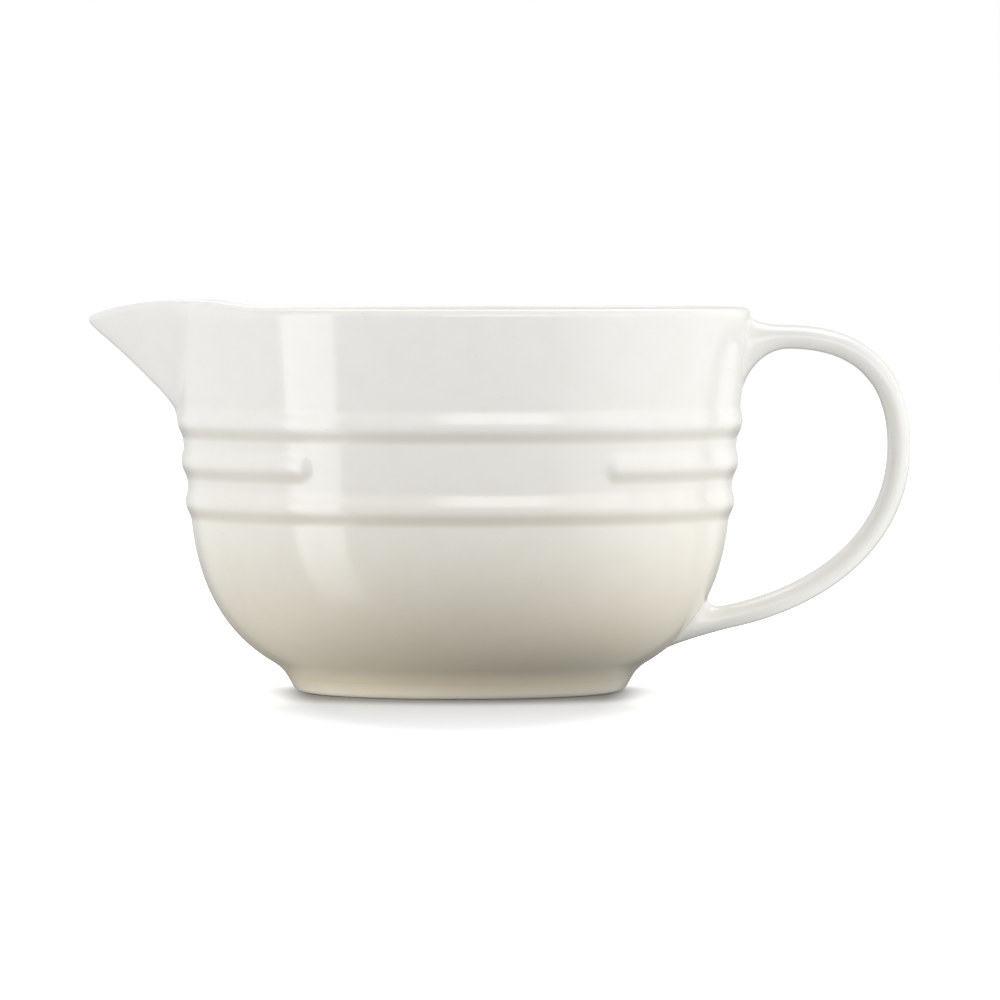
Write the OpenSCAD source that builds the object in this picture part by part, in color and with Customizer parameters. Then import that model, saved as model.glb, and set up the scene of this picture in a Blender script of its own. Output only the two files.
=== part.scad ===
// Batter bowl: a glazed stoneware mixing bowl with a drawn pouring spout, a loop handle,
// three raised bands round the wall and a low foot ring.
// Millimetres, +Z up. The origin is the middle of the foot circle, on the table.
// The spout points along -X, the handle along +X and the bare panel of the middle band along -Y.

/* [Bowl] */
// Diameter over the rim
rim_d = 202; // [186:1:220]
// Height of the rim above the table
rim_h = 133.5; // [126:0.5:150]
// Diameter at the shoulder, where the belly runs into the straight wall
shoulder_d = 187; // [176:1:196]
// Height of the shoulder above the table
shoulder_h = 59.5; // [54:0.5:64]
// Diameter at the bottom of the belly, just above the cove over the foot
belly_d = 131.6; // [124:0.2:140]
// Height of the bottom of the belly above the table
belly_h = 10.6; // [9:0.1:14]
// Slope of the belly at its bottom, from the level
belly_angle = 31; // [24:1:40]
// How far the belly keeps its bottom slope
belly_low_pull = 16.5; // [12:0.5:22]
// How far the belly keeps the slope of the wall
belly_high_pull = 25.5; // [18:0.5:32]
// Thickness of the wall, and of the rounded lip
wall_t = 4.8; // [4:0.1:6]
// Thickness of the floor
floor_t = 6; // [5:0.1:9]
// Diameter of the flat part of the floor inside
floor_flat_d = 88; // [70:1:96]
// How far the inner curve stays level as it leaves the flat floor
floor_pull = 26; // [20:0.5:30]
// How far the inner curve keeps the slope of the wall
inner_high_pull = 28; // [20:0.5:34]

/* [Bands] */
// Height of a band, edge to edge
band_w = 11.2; // [8:0.1:13]
// Height of the soft edge on either side of a band's crest
band_edge_w = 4.9; // [2:0.1:5]
// How far a band stands out from the wall
band_relief = 1.1; // [0.5:0.1:2]
// Distance from one band's middle to the next
band_pitch = 14; // [13:0.1:15]
// Height of the lowest band's middle above the shoulder
band_rise = 6.2; // [6:0.1:9]
// Angle round the front between the two ends of the middle band
panel_angle = 61; // [30:1:90]

/* [Spout] */
// How far the spout's outer face reaches beyond the rim's circle
spout_reach = 27; // [20:0.5:34]
// How far the outer face at the spout's tip ends below the one at the rim
spout_drop = 4.3; // [2:0.1:8]
// Lean of the throat at the tip, from the upright
spout_lean = 63; // [50:1:70]
// How far the throat keeps the slope of the wall at its root
throat_low_pull = 7; // [4:0.5:12]
// How far the throat keeps its lean below the tip
throat_tip_pull = 4.2; // [3:0.1:8]
// Half of the angle that the spout takes up at the rim
spout_half_angle = 25.5; // [20:0.5:30]
// Angle from the spout's middle to the top of the raised shoulder of the lip
lip_shoulder_angle = 26; // [20:1:30]
// How far the lip rises at that shoulder
lip_shoulder_lift = 2.3; // [0:0.1:4]
// Half of the angle that the spout piece takes out of the wall
spout_sector = 46; // [40:1:52]

/* [Handle] */
// Thickness of the strap, in the plane of the loop
handle_t = 8.2; // [6:0.1:10]
// Width of the strap, across the loop
handle_w = 21; // [16:0.5:26]
// Height from the rim down to the middle of the strap's level top
handle_drop = 10.3; // [9:0.1:14]
// Distance from the rim's circle to where the strap leaves its upper root
handle_lead = 13.2; // [10:0.1:18]
// How far the strap keeps level before it turns down
handle_top_pull = 33.8; // [24:0.2:38]
// Distance from the rim's circle to the middle of the strap at its outermost
handle_out = 51.8; // [44:0.2:62]
// Height of the outermost part of the strap above the table
handle_out_h = 85.4; // [78:0.2:92]
// How far the strap keeps upright above its outermost part
handle_up_pull = 14.5; // [8:0.5:20]
// How far the strap keeps upright below its outermost part
handle_down_pull = 32; // [24:0.5:38]
// Length of the lower root, from the belly to the strap
handle_low_lead = 14.2; // [11:0.1:18]
// Slope of the strap as it leaves the lower root, from the level
handle_low_angle = 12; // [4:1:20]
// How far the strap keeps the slope of its lower root
handle_low_pull = 33.4; // [24:0.2:38]
// Height of the upper root's footprint on the wall
top_root_h = 28.2; // [22:0.2:30]
// Width of both roots' footprints
root_w = 31; // [27:0.5:36]

/* [Foot] */
// Height of the foot ring
foot_h = 5; // [4.6:0.1:7]
// Diameter at the waist, where the foot ring meets the belly
waist_d = 120; // [114:0.5:124]
// Diameter of the foot ring's outer face, carried down to the table
foot_d = 114; // [108:0.5:116]
// Slope of the cove just above the waist, from the level
cove_angle = 62; // [50:1:70]
// Width of the face that stands on the table
foot_face_w = 4; // [2.5:0.1:6]
// Size of the rounding at the foot's outer edge
foot_edge = 2; // [0.5:0.1:3]
// Size of the rounding at the foot's inner edge
foot_inner_edge = 1; // [0.4:0.1:2]
// Distance that the foot's inner face leans in from the table up to the floor
foot_inner_lean = 1.2; // [0:0.1:3]

/* [Hidden] */

glaze = [0.93, 0.92, 0.89];
glaze_low = [0.80, 0.77, 0.71];

// Overrun of every cut past the face that it opens
cut_over = 8;
// Fineness of the curves: steps along a curve, round a lip, over a band and round a full turn
curve_steps = 16;
lip_steps = 6;
band_steps = 7;
turn_steps = 180;
// Fineness of the spout's sheet: columns round it and rows up it
spout_columns = 52;
spout_rows = 18;
// Fineness of the handle: points round a section, rings along each half of the loop and along a root
section_steps = 28;
strap_rings = 18;
root_rings = 8;

// Roundness of the spout's nose, as a share of its half angle
nose_share = 0.25;
// Step at which the slope of the spout's sheet is measured, as a share of its height
slope_share = 0.001;
// Size of a band's round end at its crest, as a share of its size at the wall
band_end_share = 0.7;
// Length of the cove's curve handles, as a share of the cove
cove_pull_share = 0.35;
// Fullness of the curve from a root's footprint to the strap
root_pull_share = 0.55;
// Places of the lower root's top and bottom along the belly, and of the bare strap's
low_root_shares = [0.62, 0.13];
low_strap_shares = [0.476, 0.217];
// Size of the ring inside the seat of a root, as a share of its footprint
seat_share = 0.5;
// Squareness of the strap's section: 2 is an ellipse, more is squarer
section_power = 2.1;

rim_r = rim_d / 2;
half_t = wall_t / 2;
floor_h = foot_h + floor_t;

function unit(v) = v / norm(v);
function outward(v) = [v.y, -v.x];
function slope(angle) = [cos(angle), sin(angle)];
function bezier(p, t) =
    pow(1 - t, 3) * p[0] + 3 * t * pow(1 - t, 2) * p[1] + 3 * t * t * (1 - t) * p[2] + pow(t, 3) * p[3];
function bezier_slope(p, t) =
    pow(1 - t, 2) * (p[1] - p[0]) + 2 * t * (1 - t) * (p[2] - p[1]) + t * t * (p[3] - p[2]);
function corner(a, b, c, t) = pow(1 - t, 2) * a + 2 * t * (1 - t) * b + t * t * c;
function smooth(t) = t <= 0 ? 0 : t >= 1 ? 1 : t * t * (3 - 2 * t);

// The straight wall: the middle of its lip, the way it runs, and its outer face
lip_mid = [rim_r - half_t, rim_h - half_t];
wall_dir = unit(lip_mid - [shoulder_d / 2 - half_t, shoulder_h]);
wall_out = outward(wall_dir);
shoulder = [shoulder_d / 2 - half_t, shoulder_h] + half_t * wall_out;
wall_top = lip_mid + half_t * wall_out;
function wall_r(z) = shoulder.x + (z - shoulder.y) * wall_dir.x / wall_dir.y;

// The belly and the cove over the foot
waist = [waist_d / 2, foot_h];
belly_low = [belly_d / 2, belly_h];
belly_curve = [belly_low, belly_low + belly_low_pull * slope(belly_angle),
    shoulder - belly_high_pull * wall_dir, shoulder];
cove_pull = cove_pull_share * norm(belly_low - waist);
cove_curve = [waist, waist + cove_pull * slope(cove_angle),
    belly_low - cove_pull * slope(belly_angle), belly_low];

// The inside of the belly, from the flat floor up to the wall
inner_shoulder = shoulder - wall_t * wall_out;
inner_curve = [[floor_flat_d / 2, floor_h], [floor_flat_d / 2 + floor_pull, floor_h],
    inner_shoulder - inner_high_pull * wall_dir, inner_shoulder];

// The bands
band_heights = [for (i = [0:2]) shoulder_h + band_rise + i * band_pitch];
function relief(offset) = band_relief * smooth((band_w / 2 - abs(offset)) / band_edge_w);
function on_wall(z, out) = [wall_r(z), z] + out * wall_out;
function band_points(z, first, last) =
    [for (i = [first:last]) let (offset = i / band_steps * band_w / 2) on_wall(z + offset, relief(offset))];

// The wall's upright section: up the outside, round the lip and down the inside
function lip_points(mid, out, up) =
    [for (i = [0:lip_steps]) let (a = 180 * i / lip_steps) mid + half_t * (cos(a) * out + sin(a) * up)];
body_outline = concat(
    [[0, foot_h]],
    [for (i = [0:curve_steps - 1]) bezier(cove_curve, i / curve_steps)],
    [for (i = [0:curve_steps - 1]) bezier(belly_curve, i / curve_steps)],
    [shoulder],
    band_points(band_heights[0], -band_steps, band_steps),
    band_points(band_heights[2], -band_steps, band_steps),
    lip_points(lip_mid, wall_out, wall_dir),
    [for (i = [0:curve_steps]) bezier(inner_curve, 1 - i / curve_steps)],
    [[0, floor_h]]
);

// Angle from the front to the middle of a round end of the middle band
band_end_angle = panel_angle / 2 + asin(band_w / 2 / wall_r(band_heights[1]));

// The middle band stops at the bare panel, with a round sloping end on either side
module middle_band() {
    z = band_heights[1];
    sink = half_t;
    lean = atan2(wall_dir.x, wall_dir.y);
    difference() {
        rotate_extrude($fn = turn_steps)
            polygon(concat(
                [on_wall(z - band_w / 2, -sink)],
                band_points(z, 1 - band_steps, band_steps - 1),
                [on_wall(z + band_w / 2, -sink)]
            ));
        difference() {
            rotate_extrude(angle = 2 * band_end_angle, start = -90 - band_end_angle, $fn = turn_steps)
                translate([wall_r(z) - cut_over, z - cut_over])
                    square([2 * cut_over, 2 * cut_over]);
            for (side = [-1, 1])
                rotate([0, 0, side * band_end_angle - 90])
                    translate([wall_r(z), 0, z])
                        rotate([0, 90 + lean, 0])
                            band_end(sink);
        }
    }
}

// A cone square to the wall, which shapes the end of a band
module band_end(sink) {
    slant = (1 - band_end_share) * band_w / 2 / band_relief;
    rotate_extrude($fn = turn_steps)
        polygon([
            [0, -sink],
            [band_w / 2 + slant * sink, -sink],
            [band_w / 2 - slant * 2 * band_relief, 2 * band_relief],
            [0, 2 * band_relief]
        ]);
}

// The gap in the wall that the spout piece fills, with its bottom square to the wall
spout_root = band_heights[2];
module spout_gap() {
    rotate_extrude(angle = 2 * spout_sector, start = 180 - spout_sector, $fn = turn_steps)
        polygon([
            on_wall(spout_root, cut_over),
            on_wall(spout_root, -wall_t - cut_over),
            on_wall(rim_h + cut_over, -wall_t - cut_over),
            on_wall(rim_h + cut_over, cut_over)
        ]);
}

module bowl_body() {
    color(glaze)
        difference() {
            union() {
                rotate_extrude($fn = turn_steps) polygon(body_outline);
                middle_band();
            }
            spout_gap();
        }
}

// The throat: the line down the middle of the spout's outer face
tip = [rim_r + spout_reach, wall_top.y - spout_drop];
throat_foot = on_wall(spout_root, 0);
throat_curve = [throat_foot, throat_foot + throat_low_pull * wall_dir,
    tip - throat_tip_pull * [sin(spout_lean), cos(spout_lean)], tip];

// A rounded V: 1 at the spout's middle, 0 and flat where it runs into the wall
function rounded(t) = (sqrt(t * t + nose_share * nose_share) - nose_share)
    / (sqrt(1 + nose_share * nose_share) - nose_share);
function nose(t) = t >= 1 ? 0 : pow(1 - rounded(t), 2);

// The lip's height: up at the shoulders beside the spout, down at the tip
function swell(t) = abs(t) >= 1 ? 0 : (1 + cos(180 * t)) / 2;
function lip_lift(angle) =
    let (past = abs(angle) - lip_shoulder_angle)
    lip_shoulder_lift * swell(past / (past < 0 ? lip_shoulder_angle : spout_sector - lip_shoulder_angle))
    - spout_drop * pow(nose(abs(angle) / spout_half_angle), 3);

// A point of the spout's outer face without the band, at an angle and a share of the way up
function sheet(angle, t) =
    let (
        throat = bezier(throat_curve, t),
        rise = (throat.y - spout_root) / (tip.y - spout_root),
        z = spout_root + (wall_top.y + lip_lift(angle) - spout_root) * rise,
        reach = throat.x - wall_r(throat.y),
        spread = spout_half_angle * sqrt(max(rise, slope_share)),
        r = wall_r(z) + reach * nose(abs(angle) / spread)
    )
    [-r * cos(angle), -r * sin(angle), z];
function sheet_up(angle, t) =
    let (low = max(t - slope_share, 0), high = min(t + slope_share, 1))
    unit(sheet(angle, high) - sheet(angle, low));
function sheet_out(angle, t) =
    let (along = sheet(angle + slope_share, t) - sheet(angle - slope_share, t))
    unit(cross(along, sheet_up(angle, t)));

// One upright section of the spout: outer rows, lip and inner rows, as a closed ring
function spout_section(angle) =
    let (
        top_out = sheet_out(angle, 1),
        top_mid = sheet(angle, 1) - half_t * top_out
    )
    concat(
        [for (i = [0:spout_rows - 1])
            let (t = i / spout_rows, p = sheet(angle, t))
            p + relief(p.z - spout_root) * sheet_out(angle, t)],
        lip_points(top_mid, top_out, sheet_up(angle, 1)),
        [for (i = [spout_rows - 1:-1:0])
            let (t = i / spout_rows)
            sheet(angle, t) - wall_t * sheet_out(angle, t)]
    );

// The columns crowd towards the nose, where the sheet turns most
function spout_angle(i) =
    let (s = 2 * i / spout_columns - 1)
    spout_sector * s * (1 + s * s) / 2;

module pouring_spout() {
    sections = [for (i = [0:spout_columns]) spout_section(spout_angle(i))];
    n = len(sections[0]);
    sides = [for (i = [0:spout_columns - 1]) for (j = [0:n - 1])
        let (a = i * n + j, b = i * n + (j + 1) % n)
        each [[a, b, a + n], [b, b + n, a + n]]];
    rungs = [for (j = [0:n / 2 - 1]) each [[j, n - 1 - j, j + 1], [j + 1, n - 1 - j, n - 2 - j]]];
    first_end = [for (f = rungs) if (f[0] < f[1] && f[0] != f[2] && f[1] != f[2]) f];
    last_end = [for (f = first_end) [f[0], f[2], f[1]] + spout_columns * n * [1, 1, 1]];
    color(glaze)
        polyhedron([for (s = sections) each s], concat(sides, first_end, last_end));
}

// The strap's middle line: out from the upper root, round the loop and in to the lower root
handle_top = [rim_r + handle_lead, rim_h - handle_drop];
handle_far = [rim_r + handle_out, handle_out_h];
low_middle = bezier(belly_curve, (low_root_shares[0] + low_root_shares[1]) / 2);
handle_low = low_middle + handle_low_lead * slope(handle_low_angle);
upper_loop = [handle_top, handle_top + [handle_top_pull, 0], handle_far + [0, handle_up_pull], handle_far];
lower_loop = [handle_far, handle_far - [0, handle_down_pull],
    handle_low + handle_low_pull * slope(handle_low_angle), handle_low];

// A rounded section of unit half sizes: x across the loop, y out from the loop's middle
function section(i) =
    let (a = 360 * i / section_steps, c = cos(a), s = sin(a), power = 2 / section_power)
    [sign(c) * pow(abs(c), power), sign(s) * pow(abs(s), power)];
function strap_ring(curve, t) =
    let (mid = bezier(curve, t), out = -outward(unit(bezier_slope(curve, t))))
    [for (i = [0:section_steps - 1])
        let (p = section(i), q = mid + handle_t / 2 * p.y * out)
        [q.x, handle_w / 2 * p.x, q.y]];

// A ring laid on the bowl, on the wall or on the belly
function seated(r, y, z) = [sqrt(r * r - y * y), y, z];
function wall_ring(mid, half_h, half_w) =
    [for (i = [0:section_steps - 1])
        let (p = section(i), z = mid + half_h * p.y)
        seated(wall_r(z), half_w * p.x, z)];
function belly_ring(shares, half_w, size) =
    [for (i = [0:section_steps - 1])
        let (
            p = size * section(i),
            middle = (shares[0] + shares[1]) / 2,
            q = bezier(belly_curve, middle + p.y * (shares[1] - middle))
        )
        seated(q.x, half_w * p.x, q.y)];

// The curve from a root's footprint to the strap, which leaves the bowl along its face
function root_ring(footprint, bare, strap, t) =
    [for (i = [0:section_steps - 1])
        bezier([
            footprint[i],
            footprint[i] + root_pull_share * (bare[i] - footprint[i]),
            strap[i] + root_pull_share * (bare[i] - strap[i]),
            strap[i]
        ], t)];

module handle() {
    top_root_mid = wall_top.y - top_root_h / 2;
    top_foot = wall_ring(top_root_mid, top_root_h / 2, root_w / 2);
    top_seat = wall_ring(top_root_mid, seat_share * top_root_h / 2, seat_share * root_w / 2);
    top_bare = wall_ring(handle_top.y, handle_t / 2, handle_w / 2);
    top_strap = strap_ring(upper_loop, 0);
    low_foot = belly_ring(low_root_shares, root_w / 2, 1);
    low_seat = belly_ring(low_root_shares, root_w / 2, seat_share);
    low_bare = belly_ring(low_strap_shares, handle_w / 2, 1);
    low_strap = strap_ring(lower_loop, 1);
    rings = concat(
        [top_seat, top_foot],
        [for (i = [1:root_rings - 1]) root_ring(top_foot, top_bare, top_strap, i / root_rings)],
        [for (i = [0:strap_rings - 1]) strap_ring(upper_loop, i / strap_rings)],
        [for (i = [0:strap_rings]) strap_ring(lower_loop, i / strap_rings)],
        [for (i = [root_rings - 1:-1:1]) root_ring(low_foot, low_bare, low_strap, i / root_rings)],
        [low_foot, low_seat]
    );
    n = section_steps;
    last = (len(rings) - 1) * n;
    middles = len(rings) * n;
    ends = [seated(wall_r(top_root_mid), 0, top_root_mid), seated(low_middle.x, 0, low_middle.y)];
    sides = [for (i = [0:len(rings) - 2]) for (j = [0:n - 1])
        let (a = i * n + j, b = i * n + (j + 1) % n)
        each [[a, b, a + n], [b, b + n, a + n]]];
    caps = [for (j = [0:n - 1])
        let (k = (j + 1) % n)
        each [[middles, k, j], [middles + 1, last + j, last + k]]];
    color(glaze)
        polyhedron([for (r = concat(rings, [ends])) each r], concat(sides, caps));
}

// The foot ring: its outer face runs down from the waist, and it stands on a narrow flat face
foot_corner = [foot_d / 2, 0];
face_out = foot_corner - [foot_edge, 0];
face_in = face_out - [foot_face_w, 0];
inner_corner = face_in - [foot_inner_edge, 0];
inner_top = [inner_corner.x - foot_inner_lean, foot_h];
foot_outline = concat(
    [inner_top, waist],
    [for (i = [0:lip_steps])
        corner(foot_corner + foot_edge * unit(waist - foot_corner), foot_corner, face_out, i / lip_steps)],
    [for (i = [0:lip_steps])
        corner(face_in, inner_corner, inner_corner + foot_inner_edge * unit(inner_top - inner_corner),
            i / lip_steps)]
);

module foot_ring() {
    color(glaze_low)
        rotate_extrude($fn = turn_steps) polygon(foot_outline);
}

bowl_body();
pouring_spout();
handle();
foot_ring();
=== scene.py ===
"""Looks of a glazed stoneware batter bowl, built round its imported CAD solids.

The bowl and its spout are one shell, spun from an upright section, drawn into shape and parted into the two
clay pieces. The handle is a strap swept round a loop, with roots that run into the bowl, and the foot is a
ring of its own with a bare standing face. Sizes are millimetres and degrees until a mesh is made. +Z is up,
the spout points along -X, the handle along +X and the bare panel of the middle band along -Y.
"""

import logging
import math
from collections.abc import Callable, Iterable, Sequence
from dataclasses import dataclass, field
from enum import Enum
from functools import cached_property

import bmesh
import bpy
from bmesh.types import BMEdge, BMesh, BMFace, BMLayerItem, BMVert
from bpy.types import Light, Material, Mesh, Node, NodeSocket, Object, World
from mathutils import Color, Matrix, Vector

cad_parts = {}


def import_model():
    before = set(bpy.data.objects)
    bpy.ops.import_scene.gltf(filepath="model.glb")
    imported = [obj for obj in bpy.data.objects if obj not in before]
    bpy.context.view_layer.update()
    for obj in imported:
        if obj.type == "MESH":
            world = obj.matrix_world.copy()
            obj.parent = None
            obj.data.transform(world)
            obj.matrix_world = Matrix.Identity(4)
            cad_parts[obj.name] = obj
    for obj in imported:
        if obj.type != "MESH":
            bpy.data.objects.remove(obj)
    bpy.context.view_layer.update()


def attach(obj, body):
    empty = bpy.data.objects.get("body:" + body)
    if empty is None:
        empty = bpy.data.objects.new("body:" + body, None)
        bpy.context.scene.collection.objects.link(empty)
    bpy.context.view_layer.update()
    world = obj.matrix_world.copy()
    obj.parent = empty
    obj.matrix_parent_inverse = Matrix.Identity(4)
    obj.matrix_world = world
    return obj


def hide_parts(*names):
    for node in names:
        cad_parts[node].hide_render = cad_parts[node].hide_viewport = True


log = logging.getLogger("batter_bowl")

Range = tuple[float, float]
Triple = tuple[float, float, float]
Screen = tuple[int, int, int]
Colour = Triple | NodeSocket
Curve = tuple[Vector, Vector, Vector, Vector]
Ring = list[Vector]
Line = list[BMVert | BMEdge]

MM = 0.001
BODY = "root"
MERGE_GAP = 2e-3  # points closer than this are one, in millimetres
HALVINGS = 40  # steps of the search for a height
LIP_TOP = 0.5  # share of the way round the lip
FULL_TURN = 360.0
SCREEN_WHITE = 255
NOISE_MEAN = 0.5
MIX_FIRST, MIX_SECOND, MIX_RESULT = 6, 7, 2  # a Mix node's colour sockets, by number


def smooth(t: float) -> float:
    """Return an eased step from 0 to 1."""
    t = min(max(t, 0.0), 1.0)
    return t * t * (3 - 2 * t)


def slope(angle: float) -> Vector:
    """Return the direction at an angle from the level, in degrees."""
    return Vector((math.cos(math.radians(angle)), math.sin(math.radians(angle))))


def outward(way: Vector) -> Vector:
    """Return the direction square to a way up the section, away from the axis."""
    return Vector((way.y, -way.x))


def bezier(curve: Sequence[Vector], t: float) -> Vector:
    """Return the point of a cubic curve at a share of the way along it."""
    u = 1 - t
    return u**3 * curve[0] + 3 * t * u * u * curve[1] + 3 * t * t * u * curve[2] + t**3 * curve[3]


def bezier_slope(curve: Sequence[Vector], t: float) -> Vector:
    """Return the unit direction of a cubic curve at a share of the way along it."""
    u = 1 - t
    way = u * u * (curve[1] - curve[0]) + 2 * t * u * (curve[2] - curve[1]) + t * t * (curve[3] - curve[2])
    return way.normalized()


def turned(radius: float, angle: float, height: float) -> Vector:
    """Return the point at a radius, an angle round the bowl from the spout, and a height."""
    turn = math.radians(angle)
    return Vector((-radius * math.cos(turn), -radius * math.sin(turn), height))


def angle_of(point: Vector) -> float:
    """Return a point's angle round the bowl from the spout."""
    return math.degrees(math.atan2(-point.y, -point.x))


def steps(low: float, high: float, count: int) -> list[float]:
    """Return evenly spaced values from a low one up to just before a high one."""
    return [low + (high - low) * i / count for i in range(count)]


def linear(screen: Screen) -> Triple:
    """Return a screen colour of 0 to 255 as a linear one."""
    return tuple(Color([part / SCREEN_WHITE for part in screen]).from_srgb_to_scene_linear())


def grey(share: float) -> Triple:
    """Return a linear grey."""
    return share, share, share


class Zone(Enum):
    """Zones of the bowl's upright section, in the order in which the section runs."""

    BASE = "under the bowl"
    OUTSIDE = "cove, belly and lower wall"
    UPPER = "outer wall above the spout's root"
    LIP = "rounded lip"
    LINING = "inner wall above the spout's root"
    INSIDE = "lower inner wall and floor"


class ShellPart(Enum):
    """The two clay pieces that the bowl's shell is parted into."""

    BODY = "bowl_body"
    SPOUT = "pouring_spout"


@dataclass(frozen=True)
class Row:
    """One level of the bowl's upright section, on the plain bowl without bands and spout.

    Attributes:
        share: Share of the way up the spout's throat, or round the lip.
    """

    zone: Zone
    radius: float
    height: float
    share: float = 0.0


@dataclass(frozen=True)
class Turn:
    """One part of a full turn round the bowl: its angle and how many columns it gets."""

    angle: float
    steps: int


@dataclass(frozen=True)
class BowlForm:
    """Sizes and curves of the bowl, its bands and its spout."""

    rim_d: float = 202.0
    rim_h: float = 133.5
    shoulder_d: float = 187.0
    shoulder_h: float = 59.5
    belly_d: float = 131.6
    belly_h: float = 10.6
    belly_angle: float = 31.0
    belly_low_pull: float = 16.5
    belly_high_pull: float = 25.5
    wall_t: float = 4.8
    floor_t: float = 6.0
    floor_flat_d: float = 88.0
    floor_pull: float = 26.0
    inner_high_pull: float = 28.0
    foot_h: float = 5.0
    waist_d: float = 120.0
    cove_angle: float = 62.0
    cove_pull_share: float = 0.35
    band_w: float = 12.4
    band_edge_w: float = 6.2
    band_fillet: float = 0.55
    band_relief: float = 1.35
    band_pitch: float = 14.0
    band_rise: float = 6.2
    # Step, as a share of a band's edge, for finding the flanks that get glaze pooling and painted shade.
    pool_and_shade_step_share: float = 0.05
    panel_angle: float = 61.0
    front_angle: float = 90.0
    spout_reach: float = 27.0
    spout_drop: float = 4.3
    spout_lean: float = 63.0
    throat_low_pull: float = 7.0
    throat_tip_pull: float = 4.2
    spout_half_angle: float = 25.5
    lip_shoulder_angle: float = 26.0
    lip_shoulder_lift: float = 2.3
    spout_sector: float = 46.0
    nose_share: float = 0.25
    slope_share: float = 0.001
    slope_angle: float = 0.02
    lip_roll_h: float = 6.0
    lip_plain_angles: Range = (28.0, 58.0)

    @cached_property
    def half_t(self) -> float:
        """Half of the wall's thickness."""
        return self.wall_t / 2

    @cached_property
    def lip_mid(self) -> Vector:
        """Middle of the rounded lip."""
        return Vector((self.rim_d / 2 - self.half_t, self.rim_h - self.half_t))

    @cached_property
    def wall_dir(self) -> Vector:
        """Direction of the straight wall, upwards."""
        return (self.lip_mid - Vector((self.shoulder_d / 2 - self.half_t, self.shoulder_h))).normalized()

    @cached_property
    def wall_out(self) -> Vector:
        """Direction square to the straight wall, outwards."""
        return outward(self.wall_dir)

    @cached_property
    def shoulder(self) -> Vector:
        """Outer end of the belly, where the straight wall begins."""
        return Vector((self.shoulder_d / 2 - self.half_t, self.shoulder_h)) + self.half_t * self.wall_out

    @cached_property
    def wall_top(self) -> Vector:
        """Upper end of the wall's outer face, where the lip begins."""
        return self.lip_mid + self.half_t * self.wall_out

    @cached_property
    def belly(self) -> Curve:
        """Curve of the belly's outer face."""
        low = Vector((self.belly_d / 2, self.belly_h))
        return (
            low,
            low + self.belly_low_pull * slope(self.belly_angle),
            self.shoulder - self.belly_high_pull * self.wall_dir,
            self.shoulder,
        )

    @cached_property
    def cove(self) -> Curve:
        """Curve of the cove over the foot."""
        waist = Vector((self.waist_d / 2, self.foot_h))
        pull = self.cove_pull_share * (self.belly[0] - waist).length
        return (
            waist,
            waist + pull * slope(self.cove_angle),
            self.belly[0] - pull * slope(self.belly_angle),
            self.belly[0],
        )

    @cached_property
    def inner_belly(self) -> Curve:
        """Curve of the inside, from the flat floor up to the straight wall."""
        floor = Vector((self.floor_flat_d / 2, self.foot_h + self.floor_t))
        top = self.shoulder - self.wall_t * self.wall_out
        return floor, floor + Vector((self.floor_pull, 0)), top - self.inner_high_pull * self.wall_dir, top

    @cached_property
    def band_heights(self) -> Triple:
        """Heights of the bands' middles."""
        low = self.shoulder_h + self.band_rise
        return low, low + self.band_pitch, low + 2 * self.band_pitch

    @cached_property
    def panel_h(self) -> float:
        """Height of the middle band, which the panel interrupts."""
        return self.band_heights[1]

    @cached_property
    def band_end(self) -> float:
        """Angle from the panel's middle to the middle of the band's round end."""
        return self.panel_angle / 2 + math.degrees(math.asin(self.band_w / 2 / self.wall_r(self.panel_h)))

    @cached_property
    def spout_root(self) -> float:
        """Height at which the spout begins."""
        return self.band_heights[2]

    @cached_property
    def throat(self) -> Curve:
        """Curve down the middle of the spout's outer face."""
        tip = Vector((self.rim_d / 2 + self.spout_reach, self.wall_top.y - self.spout_drop))
        low = self.wall_point(self.spout_root)
        lean = slope(90 - self.spout_lean)
        return low, low + self.throat_low_pull * self.wall_dir, tip - self.throat_tip_pull * lean, tip

    def wall_r(self, height: float) -> float:
        """Return the radius of the wall's outer face at a height."""
        return self.shoulder.x + (height - self.shoulder.y) * self.wall_dir.x / self.wall_dir.y

    def wall_point(self, height: float) -> Vector:
        """Return the point of the wall's outer face at a height."""
        return Vector((self.wall_r(height), height))

    def bead(self, t: float) -> float:
        """Return the rounded section of a band: 0 and flat at its edge, 1 at its crest."""
        t = min(max(t, 0.0), 1.0)
        climb = t * t / (2 * self.band_fillet) if t < self.band_fillet else t - self.band_fillet / 2
        return 1 - (1 - climb / (1 - self.band_fillet / 2)) ** 2

    def relief(self, height: float, angle: float) -> float:
        """Return how far the bands stand out from the wall.

        Args:
            height: Height above the table.
            angle: Angle round the bowl from the spout.

        Returns:
            The distance, square to the wall.
        """
        most = 0.0
        past_end = self.band_end - abs(angle - self.front_angle)
        for middle in self.band_heights:
            away = abs(height - middle)
            if middle == self.panel_h and past_end > 0:
                away = math.hypot(away, self.wall_r(middle) * math.radians(past_end))
            most = max(most, self.bead((self.band_w / 2 - away) / self.band_edge_w))
        return self.band_relief * most

    def pooled_and_shaded(self, height: float, angle: float) -> float:
        """Return how much glaze gathers under a band, where painted shade also falls on its lower flank.

        Args:
            height: Height above the table.
            angle: Angle round the bowl from the spout.

        Returns:
            1 where a band's lower flank is steepest, and 0 away from such flanks.
        """
        step = self.pool_and_shade_step_share * self.band_edge_w
        rise = self.relief(height + step, angle) - self.relief(height - step, angle)
        span = 1 - self.band_fillet / 2
        steepest = 2 * (2 - 1 / span) / span * self.band_relief / self.band_edge_w
        return smooth(rise / (2 * step * steepest))

    def nose(self, t: float) -> float:
        """Return the rounded V of the spout.

        Args:
            t: Share of the way from the spout's middle to where it runs into the wall.

        Returns:
            1 at the middle, and 0 with no slope at the wall.
        """
        if t >= 1:
            return 0.0
        share = self.nose_share
        rounded = (math.hypot(t, share) - share) / (math.hypot(1, share) - share)
        return (1 - rounded) ** 2

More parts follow.
